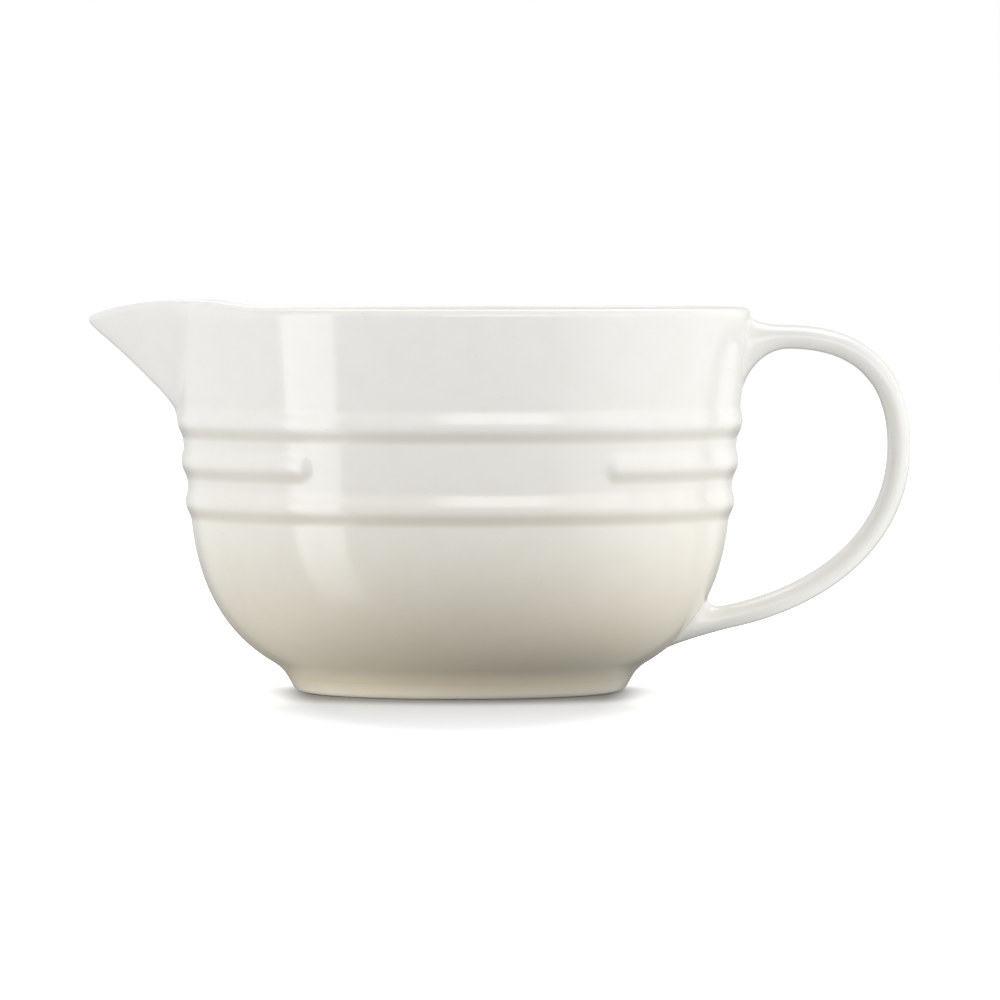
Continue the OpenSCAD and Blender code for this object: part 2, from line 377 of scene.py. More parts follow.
    def lip_lift(self, angle: float) -> float:
        """Return the lip's height over the plain rim.

        Args:
            angle: Angle round the bowl from the spout.

        Returns:
            The height, above 0 at the spout's shoulders and under 0 at its tip.
        """
        past = abs(angle) - self.lip_shoulder_angle
        half = self.lip_shoulder_angle if past < 0 else self.spout_sector - self.lip_shoulder_angle
        swell = 0.0 if abs(past) >= half else (1 + math.cos(math.pi * past / half)) / 2
        dip = self.nose(abs(angle) / self.spout_half_angle) ** 3
        return self.lip_shoulder_lift * swell - self.spout_drop * dip

    def lip_inset(self, angle: float, below_top: float) -> float:
        """Return how far the rolled outer edge of the lip lies inside the wall's face.

        Args:
            angle: Angle round the bowl from the spout.
            below_top: Distance under the top of the lip.

        Returns:
            The distance, square to the wall.
        """
        aside = abs((angle + FULL_TURN / 2) % FULL_TURN - FULL_TURN / 2)
        start, end = self.lip_plain_angles
        high = self.half_t + (self.lip_roll_h - self.half_t) * smooth((end - aside) / (end - start))
        share = min(max(1 - below_top / high, 0.0), 1.0)
        return self.half_t * (1 - math.sqrt(1 - share * share))

    def sheet(self, angle: float, t: float) -> Vector:
        """Return a point of the outer face above the spout's root, without the band.

        Args:
            angle: Angle round the bowl from the spout.
            t: Share of the way up the throat.

        Returns:
            The point.
        """
        throat = bezier(self.throat, t)
        root = self.spout_root
        rise = (throat.y - root) / (self.throat[3].y - root)
        height = root + (self.wall_top.y + self.lip_lift(angle) - root) * rise
        spread = self.spout_half_angle * math.sqrt(max(rise, self.slope_share))
        radius = self.wall_r(height) + (throat.x - self.wall_r(throat.y)) * self.nose(abs(angle) / spread)
        return turned(radius, angle, height)

    def sheet_up(self, angle: float, t: float) -> Vector:
        """Return the direction up the sheet at an angle and a share of the way up."""
        low, high = max(t - self.slope_share, 0.0), min(t + self.slope_share, 1.0)
        return (self.sheet(angle, high) - self.sheet(angle, low)).normalized()

    def sheet_out(self, angle: float, t: float) -> Vector:
        """Return the direction square to the sheet, outwards, at an angle and a share of the way up."""
        along = self.sheet(angle + self.slope_angle, t) - self.sheet(angle - self.slope_angle, t)
        return along.cross(self.sheet_up(angle, t)).normalized()

    def throat_share(self, height: float) -> float:
        """Search for the place on the throat that goes with a height of the plain wall.

        Args:
            height: Height above the table, from the spout's root to the lip.

        Returns:
            The share of the way up the throat.
        """
        rise = (height - self.spout_root) / (self.wall_top.y - self.spout_root)
        target = self.spout_root + rise * (self.throat[3].y - self.spout_root)
        low, high = 0.0, 1.0
        for _ in range(HALVINGS):
            middle = (low + high) / 2
            if bezier(self.throat, middle).y < target:
                low = middle
            else:
                high = middle
        return (low + high) / 2


def mesh_object(name: str, mesh: Mesh, materials: Sequence[Material]) -> Object:
    """Put a mesh into the scene.

    Args:
        name: Name of the object.
        mesh: Its mesh, in metres.
        materials: Its materials, by the faces' material numbers.

    Returns:
        The object.
    """
    for material in materials:
        mesh.materials.append(material)
    piece = bpy.data.objects.new(name, mesh)
    bpy.context.scene.collection.objects.link(piece)
    return piece


def spin(shape: BMesh, geom: Line, angle: float, count: int, merge: bool = False) -> Line:
    """Spin points and edges round the bowl's axis by an angle in degrees, and return the last ones."""
    turn = {"angle": math.radians(angle), "steps": count, "use_merge": merge}
    return bmesh.ops.spin(shape, geom=geom, cent=(0, 0, 0), axis=(0, 0, 1), **turn)["geom_last"]


def as_mesh(shape: BMesh, name: str) -> Mesh:
    """Turn a closed shape into a mesh, and free it.

    Args:
        shape: The shape, in millimetres.
        name: Name of the mesh.

    Returns:
        The smooth mesh, in metres.
    """
    bmesh.ops.recalc_face_normals(shape, faces=shape.faces)
    for face in shape.faces:
        face.smooth = True
    bmesh.ops.scale(shape, vec=(MM, MM, MM), verts=shape.verts)
    mesh = bpy.data.meshes.new(name)
    shape.to_mesh(mesh)
    shape.free()
    return mesh


def settle(piece: Object, slot: str, *nodes: str) -> None:
    """Tie a piece to the CAD frame.

    Args:
        piece: The finished piece.
        slot: The record's material slot that goes with its finish; not used.
        *nodes: The CAD nodes that it stands for.
    """
    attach(piece, BODY)
    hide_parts(*nodes)
    log.info("%s: %d faces", piece.name, len(piece.data.polygons))


@dataclass
class BowlShell:
    """The bowl's shell: spun, drawn into shape, and parted into the body and the spout piece."""

    form: BowlForm
    cove_rows: int = 10
    belly_rows: int = 40
    band_row_h: float = 0.46
    upper_rows: int = 30
    lip_rows: int = 14
    lining_rows: int = 28
    lower_lining_rows: int = 12
    inner_belly_rows: int = 30
    base_radii: tuple[float, ...] = (0.0, 18.0, 36.0, 50.0)
    floor_radii: tuple[float, ...] = (36.0, 27.0, 18.0, 9.0, 0.0)
    turns: tuple[Turn, ...] = (
        Turn(92.0, 92),
        Turn(2.0, 2),
        Turn(11.0, 27),
        Turn(62.0, 40),
        Turn(11.0, 27),
        Turn(182.0, 104),
    )
    rows: list[Row] = field(default_factory=list)

    def section(self) -> list[Row]:
        """Return the levels of the upright section, from the axis under the bowl to the axis on its floor."""
        form = self.form
        rows = [Row(Zone.BASE, radius, form.foot_h) for radius in self.base_radii]

        def add(zone: Zone, point: Vector, share: float = 0.0) -> None:
            """Add one level."""
            rows.append(Row(zone, point.x, point.y, share))

        for curve, count in ((form.cove, self.cove_rows), (form.belly, self.belly_rows)):
            for i in range(count):
                add(Zone.OUTSIDE, bezier(curve, i / count))
        low, root, top = form.shoulder.y, form.spout_root, form.spout_root + form.band_w / 2
        for height in steps(low, root, round((root - low) / self.band_row_h)):
            add(Zone.OUTSIDE, form.wall_point(height))
        heights = steps(root, top, round((top - root) / self.band_row_h))
        for height in heights + steps(top, form.wall_top.y, self.upper_rows):
            add(Zone.UPPER, form.wall_point(height), form.throat_share(height))
        for i in range(self.lip_rows + 1):
            share = i / self.lip_rows
            way = math.cos(math.pi * share) * form.wall_out + math.sin(math.pi * share) * form.wall_dir
            add(Zone.LIP, form.lip_mid + form.half_t * way, share)
        for i in range(1, self.lining_rows + 1):
            height = form.wall_top.y + (root - form.wall_top.y) * i / self.lining_rows
            point = form.wall_point(height) - form.wall_t * form.wall_out
            add(Zone.LINING, point, form.throat_share(height) if i < self.lining_rows else 0.0)
        last = Vector((rows[-1].radius, rows[-1].height))
        for i in range(1, self.lower_lining_rows):
            add(Zone.INSIDE, last.lerp(form.inner_belly[3], i / self.lower_lining_rows))
        for i in range(self.inner_belly_rows + 1):
            add(Zone.INSIDE, bezier(form.inner_belly, 1 - i / self.inner_belly_rows))
        for radius in self.floor_radii:
            add(Zone.INSIDE, Vector((radius, form.inner_belly[0].y)))
        return rows

    def column(self, angle: float) -> float:
        """Return an angle round the bowl with the spout's columns crowded towards its nose."""
        share = angle / self.form.spout_sector
        return angle if abs(share) >= 1 else self.form.spout_sector * share * (1 + share * share) / 2

    def place(self, row: Row, angle: float) -> Vector:
        """Return where a point of the shell belongs.

        Args:
            row: Its level of the section.
            angle: Its angle round the bowl from the spout.

        Returns:
            The point.
        """
        form = self.form
        if row.zone is Zone.UPPER:
            point = form.sheet(angle, row.share)
            proud = form.relief(point.z, angle) - form.lip_inset(angle, form.rim_h - row.height)
            return point + proud * form.sheet_out(angle, row.share)
        if row.zone is Zone.LIP:
            rise = form.half_t * math.sin(math.pi * row.share)
            inset = form.half_t * (1 - math.cos(math.pi * row.share))
            if row.share < LIP_TOP:
                inset = form.lip_inset(angle, form.half_t - rise)
            raised = form.sheet(angle, 1.0) + rise * form.sheet_up(angle, 1.0)
            return raised - inset * form.sheet_out(angle, 1.0)
        if row.zone is Zone.LINING:
            return form.sheet(angle, row.share) - form.wall_t * form.sheet_out(angle, row.share)
        flat = Vector((row.radius, row.height))
        if row.zone is Zone.OUTSIDE and row.height > form.shoulder_h:
            flat += form.relief(row.height, angle) * form.wall_out
        return turned(flat.x, angle, flat.y)

    def spin(self) -> BMesh:
        """Spin the section round the axis and draw the bands and the spout out of it.

        Returns:
            The closed shell, in millimetres, with each point's level and its soft normal kept in layers.
        """
        self.rows = self.section()
        shell = bmesh.new()
        level = shell.verts.layers.int.new("level")
        soft = shell.verts.layers.float_vector.new("soft_normal")
        glaze_pool_and_shade = shell.verts.layers.float.new("glaze_pool_and_shade")
        line = []
        for i, row in enumerate(self.rows):
            line.append(shell.verts.new(turned(row.radius, -self.form.spout_sector, row.height)))
            line[-1][level] = i
        geom = line + [shell.edges.new(pair) for pair in zip(line, line[1:])]
        for turn in self.turns:
            geom = spin(shell, geom, turn.angle, turn.steps)
        bmesh.ops.remove_doubles(shell, verts=shell.verts, dist=MERGE_GAP)
        for point in shell.verts:
            if math.hypot(point.co.x, point.co.y) > MERGE_GAP:
                angle = angle_of(point.co)
                if angle < -self.form.spout_sector - MERGE_GAP:
                    angle += FULL_TURN
                row, angle = self.rows[point[level]], self.column(angle)
                point.co = self.place(row, angle)
                # Glaze pooling under the bands, which also carries painted shade on their lower flanks.
                if row.zone is Zone.OUTSIDE and row.height > self.form.shoulder_h - self.form.band_w:
                    point[glaze_pool_and_shade] = self.form.pooled_and_shaded(row.height, angle)
        bmesh.ops.recalc_face_normals(shell, faces=shell.faces)
        shell.normal_update()
        base = len(self.base_radii)
        for point in shell.verts:
            normal = point.normal
            if point[level] == base:
                faces = [face for face in point.link_faces if any(v[level] > base for v in face.verts)]
                normal = sum((face.normal for face in faces), Vector())
            point[soft] = normal.normalized()
        return shell

    def in_spout(self, face: BMFace, level: BMLayerItem) -> bool:
        """Return whether a face of the shell belongs to the spout piece."""
        angle = angle_of(face.calc_center_median())
        zones = {self.rows[point[level]].zone for point in face.verts}
        return abs(angle) <= self.form.spout_sector and not zones & {Zone.BASE, Zone.OUTSIDE, Zone.INSIDE}

    def part(self, shell: BMesh, kind: ShellPart) -> Mesh:
        """Cut one piece out of the shell and close it where it joins the other.

        Args:
            shell: The whole shell.
            kind: The piece.

        Returns:
            The piece's mesh, in metres, with normals that run on across the joint.
        """
        piece = shell.copy()
        level = piece.verts.layers.int["level"]
        joint = piece.faces.layers.int.new("flat")
        wanted = kind is ShellPart.SPOUT
        spare = [face for face in piece.faces if self.in_spout(face, level) != wanted]
        bmesh.ops.delete(piece, geom=spare, context="FACES")
        for face in piece.faces:
            if all(point[level] <= len(self.base_radii) for point in face.verts):
                face[joint] = 1
        upper = min(i for i, row in enumerate(self.rows) if row.zone is Zone.UPPER)
        lining = max(i for i, row in enumerate(self.rows) if row.zone is Zone.LINING)

        def rim(number: int) -> list[BMEdge]:
            """Return the open edges along one level."""
            return [e for e in piece.edges if e.is_boundary and all(v[level] == number for v in e.verts)]

        made = list(bmesh.ops.bridge_loops(piece, edges=rim(upper) + rim(lining))["faces"])
        ends = [edge for edge in piece.edges if edge.is_boundary]
        made += bmesh.ops.holes_fill(piece, edges=ends, sides=0)["faces"]
        for face in made:
            face[joint] = 1
        mesh = as_mesh(piece, kind.value + "_glazed")
        self.soften(mesh)
        return mesh

    @staticmethod
    def soften(mesh: Mesh) -> None:
        """Give a piece of the shell the whole shell's normals, and flat ones on its flat faces.

        Args:
            mesh: The piece's mesh, whose layers of soft normals, flat faces and levels are used up.
        """
        soft = [tuple(item.vector) for item in mesh.attributes["soft_normal"].data]
        flat = [item.value for item in mesh.attributes["flat"].data]
        normals = []
        for polygon in mesh.polygons:
            for corner in polygon.loop_indices:
                point = mesh.loops[corner].vertex_index
                normals.append(tuple(polygon.normal) if flat[polygon.index] else soft[point])
        for name in ("soft_normal", "flat", "level"):
            mesh.attributes.remove(mesh.attributes[name])
        mesh.normals_split_custom_set(normals)


@dataclass
class Handle:
    """The loop handle: a strap on two cubic curves, with roots that run into the bowl's face."""

    form: BowlForm
    thickness: float = 8.2
    width: float = 21.0
    drop: float = 10.3
    lead: float = 13.2
    top_pull: float = 33.8
    out: float = 51.8
    out_h: float = 85.4
    up_pull: float = 14.5
    down_pull: float = 32.0
    low_lead: float = 14.2
    low_angle: float = 12.0
    low_pull: float = 33.4
    top_root_h: float = 28.2
    root_w: float = 31.0
    root_pull_share: float = 0.55
    low_root_shares: Range = (0.62, 0.13)
    low_strap_shares: Range = (0.476, 0.217)
    section_power: float = 2.1
    section_steps: int = 56
    strap_rings: int = 40
    root_rings: int = 18
    root_sink: float = 0.05
    edge_spread: float = 1.05
    edge_sink: float = 0.5
    seat_spread: float = 0.5
    seat_sink: float = 1.4

    @cached_property
    def loops(self) -> tuple[Curve, Curve]:
        """Upper and lower half of the strap's middle line."""
        form = self.form
        top = Vector((form.rim_d / 2 + self.lead, form.rim_h - self.drop))
        far = Vector((form.rim_d / 2 + self.out, self.out_h))
        middle = bezier(form.belly, sum(self.low_root_shares) / 2)
        low = middle + self.low_lead * slope(self.low_angle)
        upper = (top, top + Vector((self.top_pull, 0)), far + Vector((0, self.up_pull)), far)
        lower = (far, far - Vector((0, self.down_pull)), low + self.low_pull * slope(self.low_angle), low)
        return upper, lower

    @cached_property
    def corners(self) -> list[Range]:
        """Points of the strap's rounded section, of unit half sizes."""
        power = 2 / self.section_power
        corners = []
        for i in range(self.section_steps):
            turn = math.tau * i / self.section_steps
            way = math.cos(turn), math.sin(turn)
            corners.append(tuple(math.copysign(abs(part) ** power, part) for part in way))
        return corners

    def strap_ring(self, curve: Curve, t: float) -> Ring:
        """Return one section of the strap.

        Args:
            curve: The half of the loop that it is on.
            t: Share of the way along that half.

        Returns:
            The section's points.
        """
        middle, out = bezier(curve, t), -outward(bezier_slope(curve, t))
        ring = []
        for across, over in self.corners:
            point = middle + self.thickness / 2 * over * out
            ring.append(Vector((point.x, self.width / 2 * across, point.y)))
        return ring

    @staticmethod
    def seated(radius: float, across: float, height: float) -> Vector:
        """Return the point of a turned face at a distance across from the handle's plane."""
        return Vector((math.sqrt(radius * radius - across * across), across, height))

    def wall_ring(self, middle: float, half_h: float, half_w: float, sink: float = 0.0) -> Ring:
        """Return a ring laid on the straight wall.

        Args:
            middle: Height of its middle.
            half_h: Half of its height.
            half_w: Half of its width.
            sink: How deep it lies inside the wall.

        Returns:
            The ring's points.
        """
        ring = []
        for across, over in self.corners:
            height = middle + half_h * over
            ring.append(self.seated(self.form.wall_r(height) - sink, half_w * across, height))
        return ring

    def belly_ring(self, shares: Range, half_w: float, spread: float = 1.0, sink: float = 0.0) -> Ring:
        """Return a ring laid on the belly.

        Args:
            shares: Places of its top and bottom along the belly's curve.
            half_w: Half of its width.
            spread: Its size, as a share of the full one.
            sink: How deep it lies inside the belly.

        Returns:
            The ring's points.
        """
        middle = sum(shares) / 2
        ring = []
        for across, over in self.corners:
            share = middle + spread * over * (shares[1] - middle)
            point = bezier(self.form.belly, share) - sink * outward(bezier_slope(self.form.belly, share))
            ring.append(self.seated(point.x, spread * half_w * across, point.y))
        return ring

    def root(self, foot: Ring, bare: Ring, strap: Ring) -> list[Ring]:
        """Return a root's rings, which leave the bowl along its face and run into the strap.

        Args:
            foot: The root's edge on the bowl.
            bare: The bare strap's outline on the bowl.
            strap: The strap's first section.

        Returns:
            The rings, from the bowl to just before the strap.
        """
        pull = self.root_pull_share
        rings = []
        for k in range(self.root_rings):
            ring = []
            for edge, middle, end in zip(foot, bare, strap):
                curve = (edge, edge.lerp(middle, pull), end.lerp(middle, pull), end)
                ring.append(bezier(curve, k / self.root_rings))
            rings.append(ring)
        return rings

    def rings(self) -> list[Ring]:
        """Return every section of the handle, from inside the wall round the loop to inside the belly."""
        upper, lower = self.loops
        half_h, half_w = self.top_root_h / 2, self.root_w / 2
        middle = self.form.wall_top.y - half_h
        shares, wide, small = self.low_root_shares, self.edge_spread, self.seat_spread
        top_foot = self.wall_ring(middle, half_h, half_w, self.root_sink)
        top_bare = self.wall_ring(upper[0].y, self.thickness / 2, self.width / 2)
        low_foot = self.belly_ring(shares, half_w, sink=self.root_sink)
        low_bare = self.belly_ring(self.low_strap_shares, self.width / 2)
        return [
            self.wall_ring(middle, half_h * small, half_w * small, self.seat_sink),
            self.wall_ring(middle, half_h * wide, half_w * wide, self.edge_sink),
            *self.root(top_foot, top_bare, self.strap_ring(upper, 0)),
            *(self.strap_ring(upper, i / self.strap_rings) for i in range(self.strap_rings)),
            *(self.strap_ring(lower, i / self.strap_rings) for i in range(self.strap_rings + 1)),
            *reversed(self.root(low_foot, low_bare, self.strap_ring(lower, 1))),
            self.belly_ring(shares, half_w, wide, self.edge_sink),
            self.belly_ring(shares, half_w, small, self.seat_sink),
        ]

    def build(self) -> Mesh:
        """Sweep the section along its rings and close both ends.

        Returns:
            The mesh, in metres.
        """
        sweep = bmesh.new()
        number = sweep.verts.layers.int.new("number")
        rings = self.rings()
        circle = bmesh.ops.create_circle(sweep, segments=self.section_steps, radius=1.0)["verts"]
        for i, point in enumerate(circle):
            point[number] = i
            point.co = rings[0][i]
        edges = list(sweep.edges)
        for ring in rings[1:]:
            grown = bmesh.ops.extrude_edge_only(sweep, edges=edges)["geom"]
            new = {item for item in grown if isinstance(item, BMVert)}
            for point in new:
                point.co = ring[point[number]]
            edges = [e for e in grown if isinstance(e, BMEdge) and set(e.verts) <= new]
        bmesh.ops.holes_fill(sweep, edges=[e for e in sweep.edges if e.is_boundary], sides=0)
        sweep.verts.layers.int.remove(number)
        return as_mesh(sweep, "handle_glazed")


@dataclass
class FootRing:
    """The foot ring: a glazed ring with a narrow bare face that stands on the table."""

    form: BowlForm
    foot_d: float = 114.0
    face_w: float = 4.0
    face_h: float = 0.25
    edge: float = 2.0
    inner_edge: float = 1.0
    inner_lean: float = 1.2
    edge_steps: int = 8
    side_steps: int = 6
    columns: int = 240
    sharp_angle: float = 40.0

    def section(self) -> Ring:
        """Return the ring's upright section, down its outer face and up its inner one."""
        form = self.form
        waist = Vector((form.waist_d / 2, form.foot_h))
        corner = Vector((self.foot_d / 2, 0))
        face_out = corner - Vector((self.edge, 0))
        face_in = face_out - Vector((self.face_w, 0))
        inner_corner = face_in - Vector((self.inner_edge, 0))
        inner_top = Vector((inner_corner.x - self.inner_lean, form.foot_h))
        outer_low = corner + self.edge * (waist - corner).normalized()
        inner_low = inner_corner + self.inner_edge * (inner_top - inner_corner).normalized()

        def rounding(start: Vector, tip: Vector, end: Vector) -> Ring:
            """Return the points of a rounded corner, from its start round its tip to its end."""
            shares = [i / self.edge_steps for i in range(self.edge_steps + 1)]
            return [(1 - t) ** 2 * start + 2 * t * (1 - t) * tip + t * t * end for t in shares]

        side = [waist.lerp(outer_low, i / self.side_steps) for i in range(self.side_steps)]
        outer = rounding(outer_low, corner, face_out)
        return side + outer + rounding(face_in, inner_corner, inner_low) + [inner_top]

    def build(self) -> Mesh:
        """Spin the section into a ring.

        Returns:
            The mesh, in metres, with material 1 on the standing face.
        """
        ring = bmesh.new()
        points = [ring.verts.new((point.x, 0, point.y)) for point in self.section()]
        edges = [ring.edges.new(pair) for pair in zip(points, points[1:] + points[:1])]
        spin(ring, points + edges, FULL_TURN, self.columns, merge=True)
        bmesh.ops.remove_doubles(ring, verts=ring.verts, dist=MERGE_GAP)
        for face in ring.faces:
            if face.calc_center_median().z < self.face_h:
                face.material_index = 1
        mesh = as_mesh(ring, "foot_ring_glazed")
        mesh.set_sharp_from_angle(angle=math.radians(self.sharp_angle))
        return mesh


def math_node(operation: str, flipped: bool = False) -> Callable[..., "Value"]:
    """Return a method that adds a Math node.

    Args:
        operation: What the node does.
        flipped: Whether the other term comes first.

    Returns:
        The method, which takes the other term, if there is one, and returns the node's value.
    """

    def method(self: "Value", *other: "Value | float") -> "Value":
        """Return the node's value, from this value and the other."""
        terms = (*other, self) if flipped else (self, *other)
        return self.nodes.value("ShaderNodeMath", dict(enumerate(terms)), operation=operation)

    return method


class Value:
    """A value in a shader: each sum, product, quotient or root of it adds a Math node."""

    __add__ = math_node("ADD")
    __radd__ = math_node("ADD", flipped=True)
    __sub__ = math_node("SUBTRACT")
    __rsub__ = math_node("SUBTRACT", flipped=True)
    __mul__ = math_node("MULTIPLY")
    __truediv__ = math_node("DIVIDE")
    at_least = math_node("MAXIMUM")
    root = math_node("SQRT")

    def __init__(self, nodes: "Nodes", socket: NodeSocket) -> None:
        """Wrap an output socket."""
        self.nodes = nodes
        self.socket = socket

    def __neg__(self) -> "Value":
        """Return the value with its sign turned."""
        return 0.0 - self

    def between(self, low: float, high: float) -> "Value":
        """Return an eased step from 0 at one value to 1 at another."""
        sockets = {"Value": self, "From Min": low, "From Max": high}
        return self.nodes.value("ShaderNodeMapRange", sockets, interpolation_type="SMOOTHSTEP")

    def blend(self, first: "Value | float", second: "Value | float") -> "Value":
        """Return the first value where this one is 0, going over to the second where it is 1."""
        return first + self * (second - first)


class Nodes:
    """Maker of one node tree."""

    def __init__(self, owner: Material | Light | World) -> None:
        """Start on the owner's tree, emptied."""
        owner.use_nodes = True
        self.tree = owner.node_tree
        self.tree.nodes.clear()

    def add(self, kind: str, sockets: dict | None = None, **settings: str) -> Node:
        """Add a node.

        Args:
            kind: The node's type.
            sockets: Values or links of its inputs, by name or number.
            **settings: Its settings, which are set first.

        Returns:
            The node.
        """
        node = self.tree.nodes.new(kind)
        for name, setting in settings.items():
            setattr(node, name, setting)
        for name, value in (sockets or {}).items():
            link = value.socket if isinstance(value, Value) else value
            if isinstance(link, NodeSocket):
                self.tree.links.new(link, node.inputs[name])
            else:
                node.inputs[name].default_value = link
        return node

    def value(self, kind: str, sockets: dict | None = None, output: int | str = 0, **settings: str) -> Value:
        """Add a node and return one of its outputs as a value."""
        return Value(self, self.add(kind, sockets, **settings).outputs[output])

    def place(self) -> NodeSocket:
        """Return the Object coordinates, in metres."""
        return self.add("ShaderNodeTexCoord").outputs["Object"]

    def axes(self, vector: NodeSocket) -> list[Value]:
        """Return a vector's parts along the three axes."""
        return [Value(self, part) for part in self.add("ShaderNodeSeparateXYZ", {0: vector}).outputs]

    def seen(self) -> Value:
        """Return 1 where the camera itself looks and 0 for light on its way round the room."""
        return self.value("ShaderNodeLightPath", output="Is Camera Ray")

    def noise(self, place: NodeSocket, size: float, detail: float = 2.0) -> Value:
        """Return a noise of 0 to 1 whose lumps are about a size across, in millimetres."""
        return self.value("ShaderNodeTexNoise", {"Vector": place, "Scale": 1 / (size * MM), "Detail": detail})

    def ramp(self, share: Value, stops: Sequence[tuple[float, Triple]]) -> NodeSocket:
        """Return a colour from a soft ramp.

        Args:
            share: The share of the way along the ramp.
            stops: The ramp's places, of 0 to 1, with their colours.

        Returns:
            The colour socket.
        """
        node = self.add("ShaderNodeValToRGB", {0: share})
        node.color_ramp.interpolation = "B_SPLINE"
        elements = node.color_ramp.elements
        while len(elements) < len(stops):
            elements.new(0.5)  # moved to its own place below
        for element, (place, colour) in zip(elements, stops):
            element.position = place
            element.color = (*colour, 1.0)
        return node.outputs[0]

    def tint(self, share: Value | float, first: Colour, second: Colour, blend: str = "MIX") -> NodeSocket:
        """Return a mix of two colours.

        Args:
            share: How much of the second colour shows.
            first: A colour or a colour socket.
            second: A colour or a colour socket.
            blend: The way in which the two are mixed.

        Returns:
            The colour socket.
        """
        sockets: dict = {0: share}
        for number, colour in ((MIX_FIRST, first), (MIX_SECOND, second)):
            sockets[number] = colour if isinstance(colour, NodeSocket) else (*colour, 1.0)
        return self.add("ShaderNodeMix", sockets, data_type="RGBA", blend_type=blend).outputs[MIX_RESULT]

    def bump(self, *layers: tuple[Value, float]) -> NodeSocket:
        """Return a normal raised by layers of height.

        Args:
            *layers: Heights of 0 to 1, each with its full height in millimetres.

        Returns:
            The normal socket.
        """
        below: dict = {}
        for height, depth in layers:
            sockets = {"Strength": 1.0, "Distance": depth * MM, "Height": height, **below}
            below = {"Normal": self.add("ShaderNodeBump", sockets).outputs[0]}
        return below["Normal"]

    def surface(self, sockets: dict) -> None:
        """Add the surface shader with its values and links, and the output."""
        shader = self.add("ShaderNodeBsdfPrincipled", sockets)
        self.add("ShaderNodeOutputMaterial", {"Surface": shader.outputs[0]})


@dataclass(frozen=True)
class Glaze:
    """A glossy stoneware glaze that goes from white at the rim to a warm grey over the foot, partly its own
    tone and partly painted shade.

    Sizes are millimetres, colours are screen colours, and limits are of the noise that shows.

    Attributes:
        heights: Heights of the colours above the table, up to full_h.
        uneven: How far these wander.
        white_from: Distances from the axis between which the glaze turns white at every height.
        glaze_pool_and_shade: Colour multiplied in under the bands, for thicker glaze there and as painted
            shade on their lower flanks.
        ripple: Size and depth of the wide unevenness of the glaze.
        peel: Size and depth of its fine unevenness.
    """

    name: str
    heights: tuple[tuple[float, Screen], ...]
    full_h: float = 140.0
    uneven: float = 3.0
    wander_size: float = 26.0
    white_from: Range | None = None
    glaze_pool_and_shade: Screen | None = None
    cloud: Screen = (222, 216, 200)
    cloud_size: float = 9.0
    cloud_share: float = 0.06
    cloud_limits: Range = (0.3, 0.75)
    speck: Screen = (150, 134, 108)
    speck_pitch: float = 4.5
    speck_share: float = 0.25
    speck_outline: Range = (0.03, 0.07)
    speck_patch: float = 3.0
    speck_limits: Range = (0.56, 0.66)
    gloss: float = 0.09
    cloud_gloss: float = 0.05
    speck_gloss: float = 0.1
    ripple: Range = (34.0, 0.03)
    peel: Range = (1.6, 0.004)
    ior: float = 1.5

    def material(self) -> Material:
        """Return the glaze as a material."""
        material = bpy.data.materials.new(self.name)
        nodes = Nodes(material)
        place = nodes.place()
        across, along, height = nodes.axes(place)
        wander = nodes.noise(place, self.wander_size) - NOISE_MEAN
        level = (height / MM + wander * (2 * self.uneven)) / self.full_h
        stops = [(mm / self.full_h, linear(colour)) for mm, colour in self.heights]
        colour = nodes.ramp(level, stops)
        if self.white_from is not None:
            radius = (across * across + along * along).root() / MM
            colour = nodes.tint(radius.between(*self.white_from), colour, stops[-1][1])
        # Thicker glaze under the bands, and painted shade on their lower flanks.
        if self.glaze_pool_and_shade is not None:
            thick_and_shaded = nodes.value("ShaderNodeAttribute", output="Fac", attribute_name="glaze_pool_and_shade")
            colour = nodes.tint(thick_and_shaded, colour, nodes.tint(1.0, colour, linear(self.glaze_pool_and_shade), "MULTIPLY"))
        cloud = nodes.noise(place, self.cloud_size, detail=3.0)
        share = cloud.between(*self.cloud_limits) * self.cloud_share
        colour = nodes.tint(share, colour, linear(self.cloud), "MULTIPLY")
        dots = nodes.value("ShaderNodeTexVoronoi", {"Vector": place, "Scale": 1 / (self.speck_pitch * MM)})
        pick = nodes.noise(place, self.speck_patch, detail=0.0)
        speck = (1 - dots.between(*self.speck_outline)) * pick.between(*self.speck_limits)
        colour = nodes.tint(speck * self.speck_share, colour, linear(self.speck))
        rough = self.gloss + cloud * self.cloud_gloss + speck * self.speck_gloss
        layers = ((nodes.noise(place, size, detail=1.0), depth) for size, depth in (self.ripple, self.peel))
        normal = nodes.bump(*layers)
        nodes.surface({"Base Color": colour, "Roughness": rough, "Normal": normal, "IOR": self.ior})
        return material


